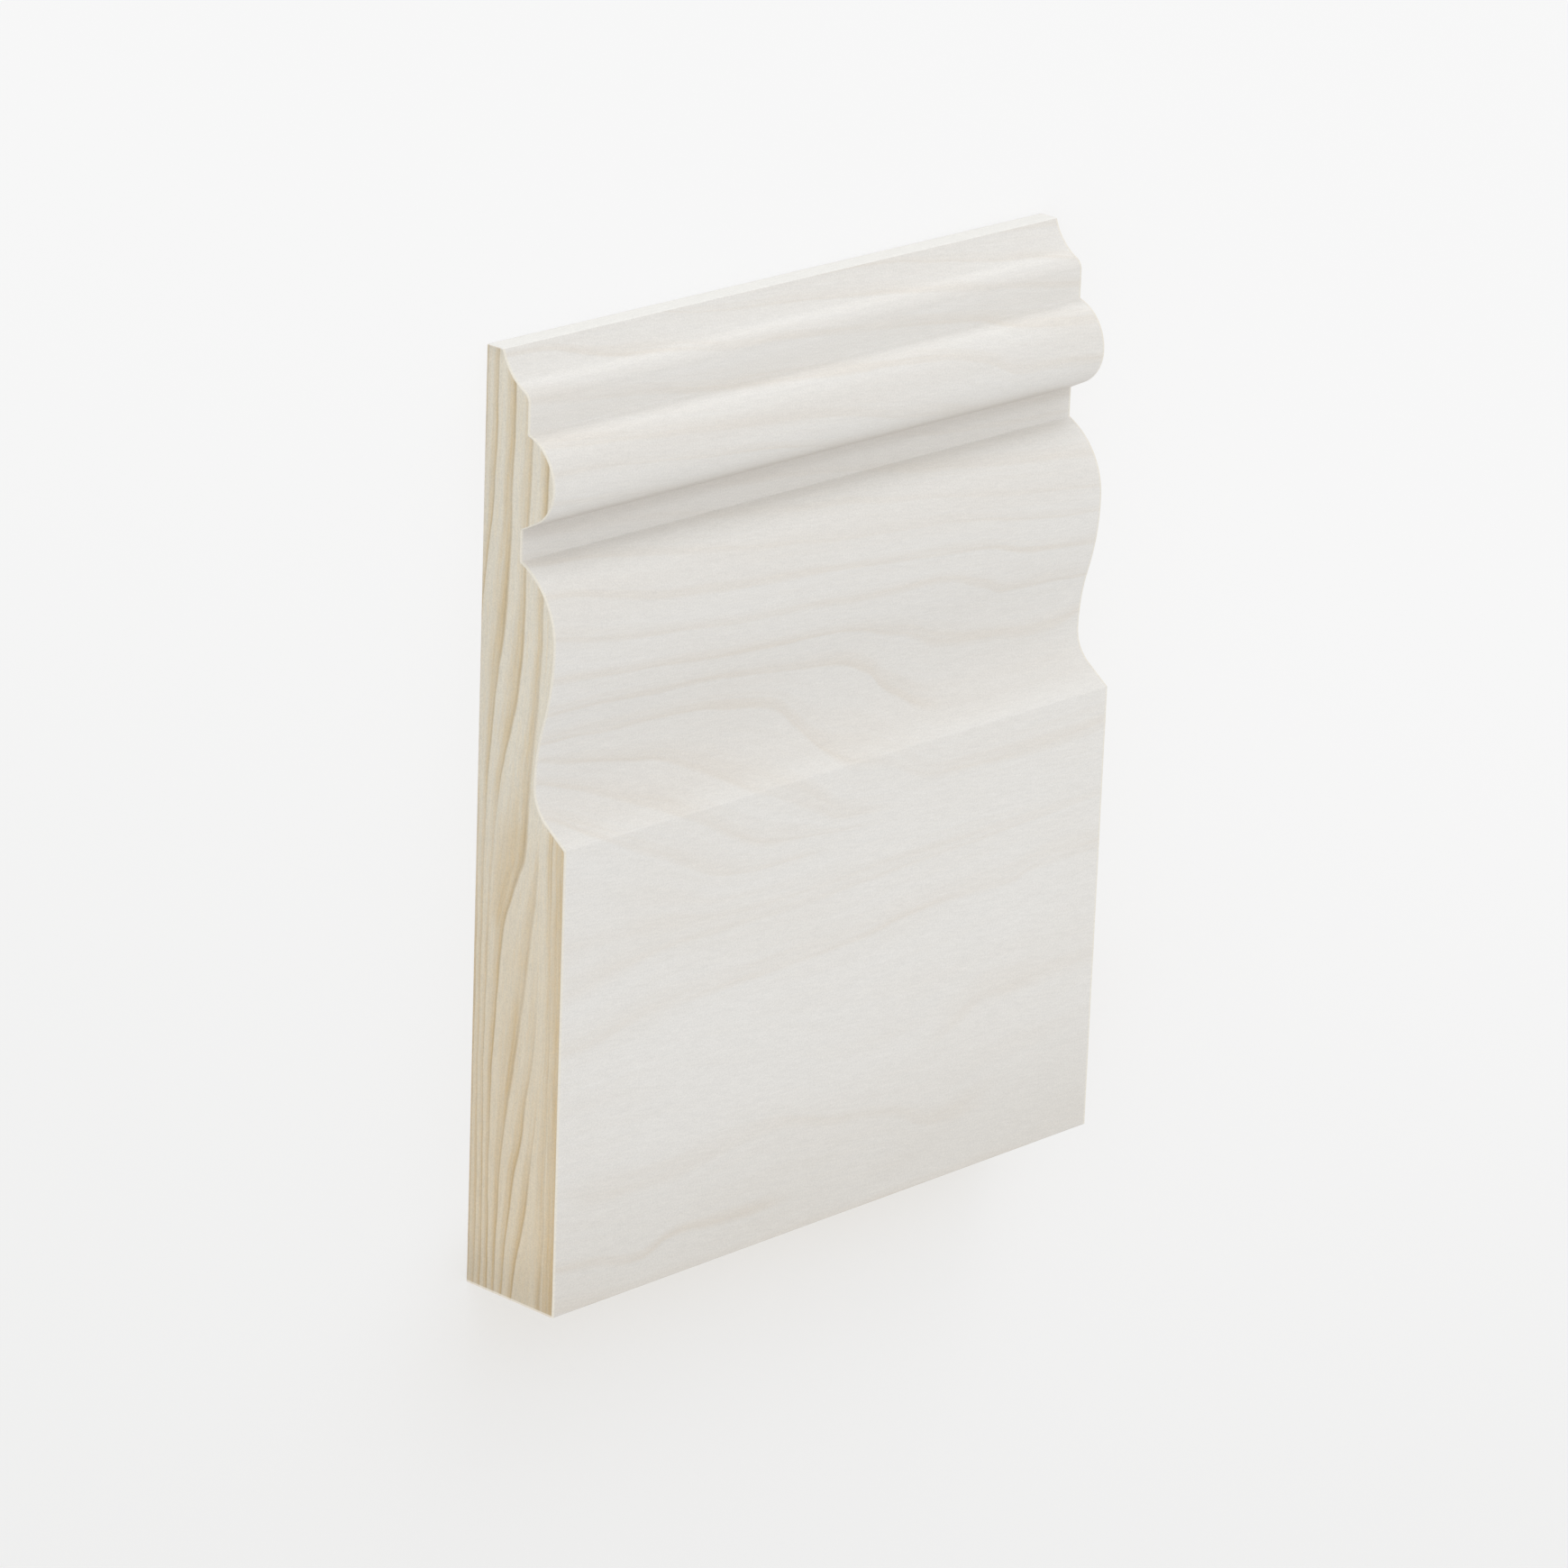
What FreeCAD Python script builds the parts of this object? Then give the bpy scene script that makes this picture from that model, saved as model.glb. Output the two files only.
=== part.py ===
import FreeCAD, Part
import math
import os

import Sketcher

# One length of moulded pine skirting board, planed and run from a single plank.
#
# The board lies on its back, moulded face up. X runs along its length, Y from its foot (-Y)
# to its top edge (+Y), and Z out of the wall that its back goes against. The origin is the
# middle of the back. All sizes are in millimetres and all slopes in degrees.
#
# The moulding, from the top edge down to the plinth: a flat land, a cove that turns into a
# small nose, an upper fillet, a bead with a sloping underside, a fascia, a long ogee and a
# sharp arris above the plain plinth. A setback is measured from the face of the plinth.

SIZES = [
    # the plank
    ("board_length", 178.0),
    ("board_height", 220.0),
    ("board_thickness", 28.0),
    # the top edge, the cove and the nose under it
    ("top_thickness", 5.0),
    ("cove_height", 10.7),
    ("cove_radius", 14.0),
    ("nose_radius", 2.8),
    # the fillet and the bead, both measured out from the fascia
    ("fillet_height", 6.8),
    ("fillet_projection", 1.5),
    ("bead_crown_height", 10.8),
    ("bead_projection", 9.7),
    ("bead_lower_radius", 10.0),
    ("underside_slope", 27.0),
    # the fascia and the ogee
    ("fascia_setback", 16.0),
    ("fascia_height", 7.1),
    ("shoulder_height", 17.1),
    ("belly_setback", 4.9),
    ("belly_drop", 18.4),
    ("belly_to_waist", 33.3),
    ("waist_setback", 10.0),
    ("hollow_radius", 9.6),
    ("weathering_slope", 36.0),
    # the light sanding of the long sharp edges
    ("arris_radius", 0.4),
]


def make_sheet(doc):
    """Puts the driving sizes into a spreadsheet, one row each, with their names as aliases."""
    sheet = doc.addObject("Spreadsheet::Sheet", "Sizes")
    for row, (name, value) in enumerate(SIZES, start=1):
        sheet.set(f"A{row}", name)
        sheet.set(f"B{row}", str(value))
        sheet.setAlias(f"B{row}", name)
    doc.recompute()
    return sheet


def arc_radius(rise, run):
    """Radius of an arc that starts along the rise and ends after this rise and run."""
    return (rise ** 2 + run ** 2) / (2.0 * run)


def profile_points(s):
    """Works out the section's corners and arc centres, as height above the foot and thickness."""
    fascia = s.board_thickness - s.fascia_setback
    fillet = fascia + s.fillet_projection
    bead = fascia + s.bead_projection
    belly = s.board_thickness - s.belly_setback
    waist = s.board_thickness - s.waist_setback

    p = {}
    p["foot_back"] = (0.0, 0.0)
    p["foot_front"] = (0.0, s.board_thickness)
    p["top_back"] = (s.board_height, 0.0)
    p["top_front"] = (s.board_height, s.top_thickness)

    # nose: a quarter-turn or less that leaves the fillet straight up
    nose_height = s.board_height - s.cove_height
    p["nose_foot"] = (nose_height, fillet)
    p["nose_centre"] = (nose_height, fillet - s.nose_radius)

    # cove: through the land's edge and touching the nose from outside
    dx = p["nose_centre"][0] - p["top_front"][0]
    dy = p["nose_centre"][1] - p["top_front"][1]
    span = math.hypot(dx, dy)
    reach = s.cove_radius + s.nose_radius
    along = (s.cove_radius ** 2 - reach ** 2 + span ** 2) / (2.0 * span)
    across = math.sqrt(s.cove_radius ** 2 - along ** 2)
    p["cove_centre"] = (
        p["top_front"][0] + (dx * along - dy * across) / span,
        p["top_front"][1] + (dy * along + dx * across) / span,
    )
    if p["cove_centre"][1] < p["nose_centre"][1]:
        p["cove_centre"] = (
            p["top_front"][0] + (dx * along + dy * across) / span,
            p["top_front"][1] + (dy * along - dx * across) / span,
        )
    share = s.nose_radius / reach
    p["nose_top"] = tuple(
        n + (c - n) * share for n, c in zip(p["nose_centre"], p["cove_centre"])
    )

    # bead: a crown that meets the fillet, and a lower round that runs into a flat underside
    bead_top = nose_height - s.fillet_height
    bead_height = bead_top - s.bead_crown_height
    crown = arc_radius(s.bead_crown_height, bead - fillet)
    turn = math.radians(90.0 - s.underside_slope)
    p["bead_top"] = (bead_top, fillet)
    p["bead_front"] = (bead_height, bead)
    p["crown_centre"] = (bead_height, bead - crown)
    p["bead_centre"] = (bead_height, bead - s.bead_lower_radius)
    p["underside_front"] = (
        bead_height - s.bead_lower_radius * math.sin(turn),
        bead - s.bead_lower_radius * (1.0 - math.cos(turn)),
    )
    drop = (p["underside_front"][1] - fascia) * math.tan(math.radians(s.underside_slope))
    p["underside_back"] = (p["underside_front"][0] - drop, fascia)

    # ogee: a shoulder, a long belly and a hollow, each tangent to the next
    shoulder = p["underside_back"][0] - s.fascia_height
    belly_height = shoulder - s.shoulder_height
    waist_height = belly_height - s.belly_to_waist
    shoulder_radius = arc_radius(s.shoulder_height, belly - fascia)
    both_radii = arc_radius(s.belly_to_waist, belly - waist)
    share = s.belly_drop / s.belly_to_waist
    p["shoulder"] = (shoulder, fascia)
    p["shoulder_centre"] = (belly_height, belly - shoulder_radius)
    p["belly"] = (belly_height, belly)
    p["belly_centre"] = (belly_height, belly - both_radii * share)
    p["inflection"] = (belly_height - s.belly_drop, belly - (belly - waist) * share)
    p["waist"] = (waist_height, waist)
    p["waist_centre"] = (waist_height, waist + both_radii * (1.0 - share))

    # hollow above the plinth, and the straight weathering down to the sharp arris
    turn = math.radians(90.0 - s.weathering_slope)
    p["hollow_centre"] = (waist_height, waist + s.hollow_radius)
    p["weathering_back"] = (
        waist_height - s.hollow_radius * math.sin(turn),
        waist + s.hollow_radius * (1.0 - math.cos(turn)),
    )
    drop = (s.board_thickness - p["weathering_back"][1]) * math.tan(math.radians(s.weathering_slope))
    p["arris"] = (p["weathering_back"][0] - drop, s.board_thickness)
    return p


# The section as one closed loop: each stretch has a name, its two ends and, if round, its centre
OUTLINE = [
    ("foot", "foot_back", "foot_front", None),
    ("plinth", "foot_front", "arris", None),
    ("weathering", "arris", "weathering_back", None),
    ("hollow", "weathering_back", "waist", "hollow_centre"),
    ("waist_curve", "waist", "inflection", "waist_centre"),
    ("belly_curve", "inflection", "belly", "belly_centre"),
    ("shoulder_curve", "belly", "shoulder", "shoulder_centre"),
    ("fascia", "shoulder", "underside_back", None),
    ("underside", "underside_back", "underside_front", None),
    ("bead_lower", "underside_front", "bead_front", "bead_centre"),
    ("bead_crown", "bead_front", "bead_top", "crown_centre"),
    ("fillet", "bead_top", "nose_foot", None),
    ("nose", "nose_foot", "nose_top", "nose_centre"),
    ("cove", "nose_top", "top_front", "cove_centre"),
    ("top", "top_front", "top_back", None),
    ("back", "top_back", "foot_back", None),
]

# Corners where two neighbouring stretches run into each other with no edge
SMOOTH_JOINTS = ["weathering_back", "inflection", "underside_front", "nose_top"]

# Edges that run along the board and are lightly sanded
EASED_ARRISES = ["foot_back", "foot_front", "arris", "top_front", "top_back"]

START, END, CENTRE = 1, 2, 3
ORIGIN_POINT = (-1, 1)


class Section:
    """The profile sketch, with each stretch and corner found by its name."""

    def __init__(self, sketch, points, board_height):
        self.sketch = sketch
        self.points = points
        self.middle = board_height / 2.0
        self.stretch = {}
        self.corner = {}
        for name, first, last, centre in OUTLINE:
            self.add_stretch(name, first, last, centre)
        for (name, _, last, _), (following, _, _, _) in zip(OUTLINE, OUTLINE[1:] + OUTLINE[:1]):
            joint = "Tangent" if last in SMOOTH_JOINTS else "Coincident"
            self.add(joint, *self.corner[name, last], *self.corner[following, last])

    def vector(self, point):
        height, thickness = self.points[point]
        return FreeCAD.Vector(height - self.middle, thickness, 0.0)

    def add_stretch(self, name, first, last, centre):
        a, b = self.vector(first), self.vector(last)
        ends = (first, last)
        if centre is None:
            shape = Part.LineSegment(a, b)
        else:
            c = self.vector(centre)
            if (a - c).cross(b - c).z < 0.0:
                a, b = b, a
                ends = (last, first)
            circle = Part.Circle(c, FreeCAD.Vector(0.0, 0.0, 1.0), (a - c).Length)
            shape = Part.ArcOfCircle(circle, circle.parameter(a), circle.parameter(b))
        index = self.sketch.addGeometry(shape, False)
        self.stretch[name] = index
        self.corner[name, ends[0]] = (index, START)
        self.corner[name, ends[1]] = (index, END)

    def at(self, point):
        """One sketch point that lies at the named corner."""
        for (_, corner), place in self.corner.items():
            if corner == point:
                return place
        raise KeyError(point)

    def add(self, kind, *values):
        return self.sketch.addConstraint(Sketcher.Constraint(kind, *values))

    def size(self, kind, *values, named=None, formula=None):
        """A dimension bound to the sheet, named after the size that drives it."""
        index = self.add(kind, *values)
        self.sketch.renameConstraint(index, named)
        self.sketch.setExpression(f"Constraints.{named}", formula or f"Sizes.{named}")

    def height(self, named, lower, upper):
        a, b = self.at(lower), self.at(upper)
        value = self.points[upper][0] - self.points[lower][0]
        self.size("DistanceX", *a, *b, value, named=named)

    def depth(self, named, inner, outer):
        a, b = self.at(inner), self.at(outer)
        value = self.points[outer][1] - self.points[inner][1]
        self.size("DistanceY", *a, *b, value, named=named)

    def radius(self, named, stretch):
        index = self.stretch[stretch]
        self.size("Radius", index, self.sketch.Geometry[index].Radius, named=named)

    def slope(self, named, stretch, formula):
        index = self.stretch[stretch]
        line = self.sketch.Geometry[index]
        run = line.EndPoint - line.StartPoint
        self.size("Angle", index, math.atan2(run.y, run.x), named=named, formula=formula)

    def square_on(self, stretch, point):
        """Puts a curve's centre straight behind or before a point, so that it runs upright there."""
        self.add("Vertical", self.stretch[stretch], CENTRE, *self.corner[stretch, point])


def draw_section(sketch, s):
    """Draws the profile and ties each of its sizes to the sheet."""
    section = Section(sketch, profile_points(s), s.board_height)
    for name in ("plinth", "fascia", "fillet", "back"):
        section.add("Horizontal", section.stretch[name])
    for name in ("foot", "top"):
        section.add("Vertical", section.stretch[name])
    section.add("Symmetric", *section.at("foot_back"), *section.at("top_back"), *ORIGIN_POINT)

    section.height("board_height", "foot_back", "top_back")
    section.depth("board_thickness", "foot_back", "foot_front")
    section.depth("top_thickness", "top_back", "top_front")

    section.height("cove_height", "nose_foot", "top_front")
    section.radius("cove_radius", "cove")
    section.radius("nose_radius", "nose")
    section.square_on("nose", "nose_foot")

    section.height("fillet_height", "bead_top", "nose_foot")
    section.depth("fillet_projection", "underside_back", "bead_top")
    section.height("bead_crown_height", "bead_front", "bead_top")
    section.depth("bead_projection", "underside_back", "bead_front")
    section.radius("bead_lower_radius", "bead_lower")
    section.square_on("bead_crown", "bead_front")
    section.square_on("bead_lower", "bead_front")
    section.slope("underside_slope", "underside", "90 - Sizes.underside_slope")

    section.depth("fascia_setback", "underside_back", "arris")
    section.height("fascia_height", "shoulder", "underside_back")
    section.height("shoulder_height", "belly", "shoulder")
    section.depth("belly_setback", "belly", "arris")
    section.height("belly_drop", "inflection", "belly")
    section.height("belly_to_waist", "waist", "belly")
    section.square_on("shoulder_curve", "belly")
    section.square_on("belly_curve", "belly")

    section.depth("waist_setback", "waist", "arris")
    section.square_on("waist_curve", "waist")
    section.square_on("hollow", "waist")
    section.radius("hollow_radius", "hollow")
    section.slope("weathering_slope", "weathering", "Sizes.weathering_slope - 90")
    return section


def long_edges(shape, section, corners):
    """Names of the edges that run along the board through the named corners of the section."""
    names = []
    for corner in corners:
        place = section.vector(corner)
        for index, edge in enumerate(shape.Edges, start=1):
            ends = [vertex.Point for vertex in edge.Vertexes]
            near = [math.hypot(end.y - place.x, end.z - place.y) < 0.001 for end in ends]
            if len(ends) == 2 and all(near):
                names.append(f"Edge{index}")
    return names


def origin_plane(body, role):
    for feature in body.Origin.OriginFeatures:
        if feature.Role == role:
            return feature
    raise LookupError(role)


def make_skirting_board(doc, sheet):
    """The board: its section drawn upright across the length, padded both ways and eased."""
    body = doc.addObject("PartDesign::Body", "SkirtingBoard")
    body.Label = "skirting_board"

    sketch = body.newObject("Sketcher::SketchObject", "Profile")
    sketch.AttachmentSupport = [(origin_plane(body, "YZ_Plane"), "")]
    sketch.MapMode = "FlatFace"
    doc.recompute()
    section = draw_section(sketch, sheet)
    doc.recompute()
    if not sketch.FullyConstrained:
        raise RuntimeError("the profile is not fully constrained")

    length = body.newObject("PartDesign::Pad", "Length")
    length.Profile = sketch
    length.SideType = "Symmetric"
    length.setExpression("Length", "Sizes.board_length")
    sketch.Visibility = False
    doc.recompute()

    eased = body.newObject("PartDesign::Fillet", "EasedArrises")
    eased.Base = (length, long_edges(length.Shape, section, EASED_ARRISES))
    eased.setExpression("Radius", "Sizes.arris_radius")
    doc.recompute()

    body.Placement = FreeCAD.Placement()
    return body


def check(doc, bodies):
    """Stops if any feature failed or any solid is unsound."""
    for item in doc.Objects:
        if "Invalid" in item.State or "Error" in item.State:
            raise RuntimeError(f"{item.Name}: {item.State}")
    for body in bodies:
        shape = body.Shape
        if shape.isNull() or not shape.isValid() or len(shape.Solids) != 1:
            raise RuntimeError(f"{body.Label} is not one sound solid")


def main():
    doc = FreeCAD.newDocument("SkirtingBoardLength")
    sheet = make_sheet(doc)
    bodies = [make_skirting_board(doc, sheet)]
    doc.recompute()
    check(doc, bodies)

    os.makedirs("parts", exist_ok=True)
    for body in bodies:
        body.Shape.exportStep(f"parts/{body.Label}.step")
        box = body.Shape.BoundBox
        print(f"{body.Label}: {box.XLength:.2f} x {box.YLength:.2f} x {box.ZLength:.2f} mm")
        print(f"  from {box.XMin:.2f}, {box.YMin:.2f}, {box.ZMin:.2f}")
        print(f"  volume {body.Shape.Volume / 1000.0:.1f} cm3, {len(body.Shape.Faces)} faces")


main()
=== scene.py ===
"""Looks of one length of moulded pine skirting board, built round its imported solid.

The board lies on its back: X runs along it, Y from its foot to its top edge, Z out of the wall.
Its moulded face and top edge carry a thin white glaze, and its ends, back and foot are bare pine.
"""

import math

import bpy
from mathutils import Matrix, Quaternion, Vector


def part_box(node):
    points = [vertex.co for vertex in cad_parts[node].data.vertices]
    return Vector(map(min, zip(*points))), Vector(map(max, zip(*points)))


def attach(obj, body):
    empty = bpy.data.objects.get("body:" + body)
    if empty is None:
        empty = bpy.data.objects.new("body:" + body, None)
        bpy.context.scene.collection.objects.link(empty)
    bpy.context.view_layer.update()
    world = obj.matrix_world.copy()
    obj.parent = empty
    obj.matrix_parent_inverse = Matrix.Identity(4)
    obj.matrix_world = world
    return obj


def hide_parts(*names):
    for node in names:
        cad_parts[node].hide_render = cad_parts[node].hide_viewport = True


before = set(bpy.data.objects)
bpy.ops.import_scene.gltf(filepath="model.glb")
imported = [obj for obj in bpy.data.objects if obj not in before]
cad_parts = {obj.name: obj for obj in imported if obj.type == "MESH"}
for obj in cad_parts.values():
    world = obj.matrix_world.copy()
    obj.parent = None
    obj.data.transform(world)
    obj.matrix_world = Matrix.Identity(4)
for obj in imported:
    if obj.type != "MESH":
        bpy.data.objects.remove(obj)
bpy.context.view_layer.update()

bl_info = {
    "name": "Skirting board length",
    "version": (1, 0, 0),
    "blender": (4, 5, 0),
    "location": "3D View > Sidebar > Skirting",
    "description": "Makes a glazed, moulded pine skirting board and the stage it is shown on",
    "category": "Object",
}

BOARD_NODE = "skirting_board"
BOARD_BODY = "root"

BOX_LOW, BOX_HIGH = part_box(BOARD_NODE)
LENGTH, HEIGHT, THICKNESS = BOX_HIGH - BOX_LOW
MM = 0.001

FACE, END, PLANED = 0, 1, 2  # the slots of the board's finishes
# The least that the normal of a polygon leans out of the wall, upward or along the board, where it
# belongs to the face, the top edge or a cut end
FACE_TURN, TOP_TURN, END_TURN = 0.02, 0.3, 0.98
END_WITHIN = 0.02 * MM  # how near a cut end's plane the middles of its polygons lie
ROW_TURN = math.radians(8.0)  # the most that an arc of the moulding turns between two rows
EDGE_DISTANCE = "glaze_edge"  # what the mesh calls the distance of its points from the face

SHADER, GEOMETRY = "ShaderNodeTree", "GeometryNodeTree"
FLOAT, VECTOR, SHAPE = "NodeSocketFloat", "NodeSocketVector", "NodeSocketGeometry"
INTEGER, MATERIAL = "NodeSocketInt", "NodeSocketMaterial"
SMOOTH = "SMOOTHSTEP"
NODE_WIDTH, NODE_HEIGHT = 220.0, 190.0

NOISE_SPAN = (0.3, 0.7)  # what most of a noise lies between
NOISE_MEAN, SOFT_MEAN = 0.45, 0.42  # about the middle of a noise, and of a softer one
PORES = 2600.0  # pores to a metre
RING_TURN, RING_EDGE = 0.9, 0.09  # where in a ring the wood is darkest, and for how long
WANDER = 1.2 * MM  # how far the growth lines stray from their courses
FACE_REACH, END_REACH = (-10, 240), (-4, 34)  # what the courses below stay between, in mm
TOP_LAND = (0.9988, 0.9994)  # shares of the height at which the face gives way to the top land

# The growth lines that the face cuts through, from the top edge down. Each is (how dark it is,
# where in its ring the wood starts to darken, its course as {mm from the left end: mm above the
# foot}), and what changes along the course is given by mm from the left end too
FACE_LINES = [
    (0.0, 0.4, {0: 238, 178: 226}),
    (0.5, 0.4, {0: 232, 60: 226, 120: 222, 150: 219.8, 165: 218.8, 178: 218}),
    (0.6, 0.5, {0: 226, 60: 221.5, 100: 219.6, 120: 218.7, 137: 216.2, 152: 214.2, 165: 213,
     178: 211}),
    (0.6, 0.4, {0: 222.5, 30: 220.8, 47: 219.8, 62: 217.3, 82: 216, 105: 213.8, 130: 211.4,
     150: 209, 162: 207.3, 178: 204.8}),
    (0.7, 0.4, {0: 217.8, 13: 217, 28: 213.6, 45: 212, 60: 210.4, 78: 209.4, 95: 207.8, 117: 205.8,
     131: 204.1, 143: 202.4, 153: 200.2, 165: 198.6, 178: 197.6}),
    (0.65, 0.5, {0: 209, 10: 207.6, 27: 205.8, 42: 203.8, 50: 202.4, 70: 201.2, 90: 200, 112: 198.8,
     130: 197.2, 137: 195.5, 142: 193.4, 147: 191.2, 160: 190, 178: 188.5}),
    (0.6, 0.4, {0: 199.5, 20: 198, 30: 197, 49: 195.7, 60: 194.6, 72: 193.6, 88: 191.5, 100: 189.2,
     109: 187, 117: 185.7, 127: 184.2, 134: 181.8, 145: 180.3, 160: 179.2, 178: 178}),
    (0.5, 0.5, {0: 194.2, 12: 194, 30: 192.4, 45: 190.3, 62: 188.6, 77: 186.2, 88: 183.8,
     100: 181.9, 113: 180.4, 124: 178.4, 137: 176.8, 155: 175.4, 178: 174.3}),
    (0.5, 0.5, {0: 187.5, 13: 185.8, 30: 184.4, 37: 182.2, 50: 180.5, 62: 178.2, 80: 176.5,
     100: 174.5, 120: 171.2, 139: 169.4, 150: 168, 165: 166.6, 178: 165.4}),
    (0.4, 0.6, {0: 178.5, 13: 177.5, 30: 176, 45: 174.3, 62: 171.6, 75: 170.5, 88: 169.2, 98: 168.5,
     108: 167.3, 125: 165.7, 134: 164.2, 148: 162, 160: 160.8, 178: 158.6}),
    (0.5, 0.5, {0: 172.5, 20: 170.8, 35: 168.8, 43: 167.6, 55: 166.4, 63: 165.4, 75: 164.3,
     90: 162.5, 115: 160.6, 134: 158.7, 150: 156, 165: 153.6, 178: 152.6}),
    (0.7, 0.5, {0: 166, 8: 165.4, 20: 163, 33: 160.5, 50: 158.8, 70: 157.2, 90: 156, 104: 154.4,
     124: 152.6, 141: 150.5, 152: 147.6, 165: 146, 178: 144.3}),
    (0.65, 0.5, {0: 157.3, 5: 156.4, 12: 154.7, 20: 153.6, 40: 151.6, 50: 150.5, 70: 149, 90: 147.3,
     105: 146.2, 120: 145.6, 130: 144.6, 136: 142.5, 142: 140.4, 146: 138.4, 152: 137.7, 165: 137.3,
     178: 136}),
    (0.8, 0.5, {0: 147, 10: 146.3, 25: 145.2, 35: 144.4, 55: 142.2, 73: 141, 90: 140.3, 95: 139.6,
     102: 138.2, 109: 135.6, 115: 134, 121: 131.7, 125: 129.5, 131: 127.6, 138: 126.2, 148: 125.8,
     160: 124.3, 169: 124.2, 178: 126}),
    ({0: 0.75, 115: 0.75, 135: 0, 178: 0}, 0.35,
     {0: 139.5, 12: 139.3, 20: 138.8, 35: 137.6, 50: 137, 60: 136, 76: 133.9, 85: 132.6, 92: 131.5,
      98: 130.1, 103: 127.7, 107: 125.6, 109: 123.2, 112: 120.8, 116: 118.3, 120: 115.8, 126: 114.8,
      145: 114.6, 178: 114.4}),
    ({0: 0.8, 85: 0.8, 95: 0.5, 178: 0.5}, 0.3,
     {0: 132.6, 12: 132.3, 20: 131.2, 37: 130.7, 52: 129.6, 60: 128, 68: 126.5, 74: 124.8,
      78: 122.5, 80: 120.2, 83: 117, 86: 112.6, 90: 109.6, 96: 108, 102: 107, 108: 104.8,
      117: 101.4, 125: 100.8, 140: 99.8, 152: 99.2, 165: 99.6, 178: 100.4}),
    ({0: 0.8, 55: 0.8, 65: 0.5, 90: 0.5, 110: 0, 178: 0}, 0.35,
     {0: 129, 10: 126.3, 18: 124.8, 30: 122.2, 37: 121, 42: 119.4, 48: 116.5, 55: 113, 60: 110.3,
      66: 107.8, 72: 104.7, 80: 100.8, 86: 98.2, 96: 97, 120: 96, 150: 95.5, 178: 94}),
    ({0: 0.8, 35: 0.8, 42: 0.5, 85: 0.5, 105: 0, 178: 0}, 0.35,
     {0: 123.5, 5: 122, 10: 120.3, 15: 118.4, 25: 114.7, 32: 112, 37: 110, 42: 107.6, 48: 104,
      56: 99.8, 62: 97.6, 70: 96.6, 80: 95.9, 100: 94.5, 130: 92.8, 178: 91}),
    ({0: 0.7, 10: 0.7, 18: 0.45, 70: 0.45, 90: 0, 178: 0}, 0.35,
     {0: 116, 4: 114.6, 8: 112.2, 14: 109.6, 20: 106.4, 27: 103.2, 34: 100.1, 40: 97.4, 46: 94.5,
      54: 92.6, 70: 91.8, 100: 91.2, 130: 90, 178: 88}),
    (0.36, 0.05, {0: 73, 5: 73.6, 12: 75.2, 20: 76.8, 31: 78.8, 45: 79.2, 80: 79.8, 100: 80.7,
     130: 81.7, 150: 82.5, 178: 84}),
    (0.48, 0.4, {0: 61.5, 5: 61.4, 12: 62.2, 18: 63.5, 24: 64.8, 40: 65, 70: 65.5, 90: 66,
     100: 66.5, 110: 68.2, 130: 68.9, 148: 68.2, 153: 69.7, 178: 70.4}),
    ({0: 0, 115: 0, 135: 0.38, 178: 0.38}, 0.6,
     {0: 51, 20: 51.8, 40: 49.5, 60: 45, 80: 38, 95: 33, 115: 32, 130: 36, 140: 40.3, 155: 40.2,
      178: 40.8}),
    ({0: 0, 20: 0.42, 130: 0.42, 150: 0, 178: 0}, 0.6,
     {0: 25, 12: 22.6, 28: 22, 50: 24.5, 70: 26, 88: 22.5, 100: 21.5, 110: 19, 122: 13.5, 135: 12.5,
      155: 16, 178: 20}),
    ({0: 0.9, 60: 0.9, 80: 0, 178: 0}, 0.7,
     {0: 9.8, 8: 9, 15: 8, 21: 6.5, 27: 6, 31: 7, 35: 8.7, 41: 9.1, 50: 8, 63: 7.4, 90: 7.6,
      110: 6.5, 150: 5, 178: 3}),
    (0.7, 0.4, {0: 0.5, 18: -1, 60: -3, 95: -2, 110: -1, 130: -1, 178: -3}),
]

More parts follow.
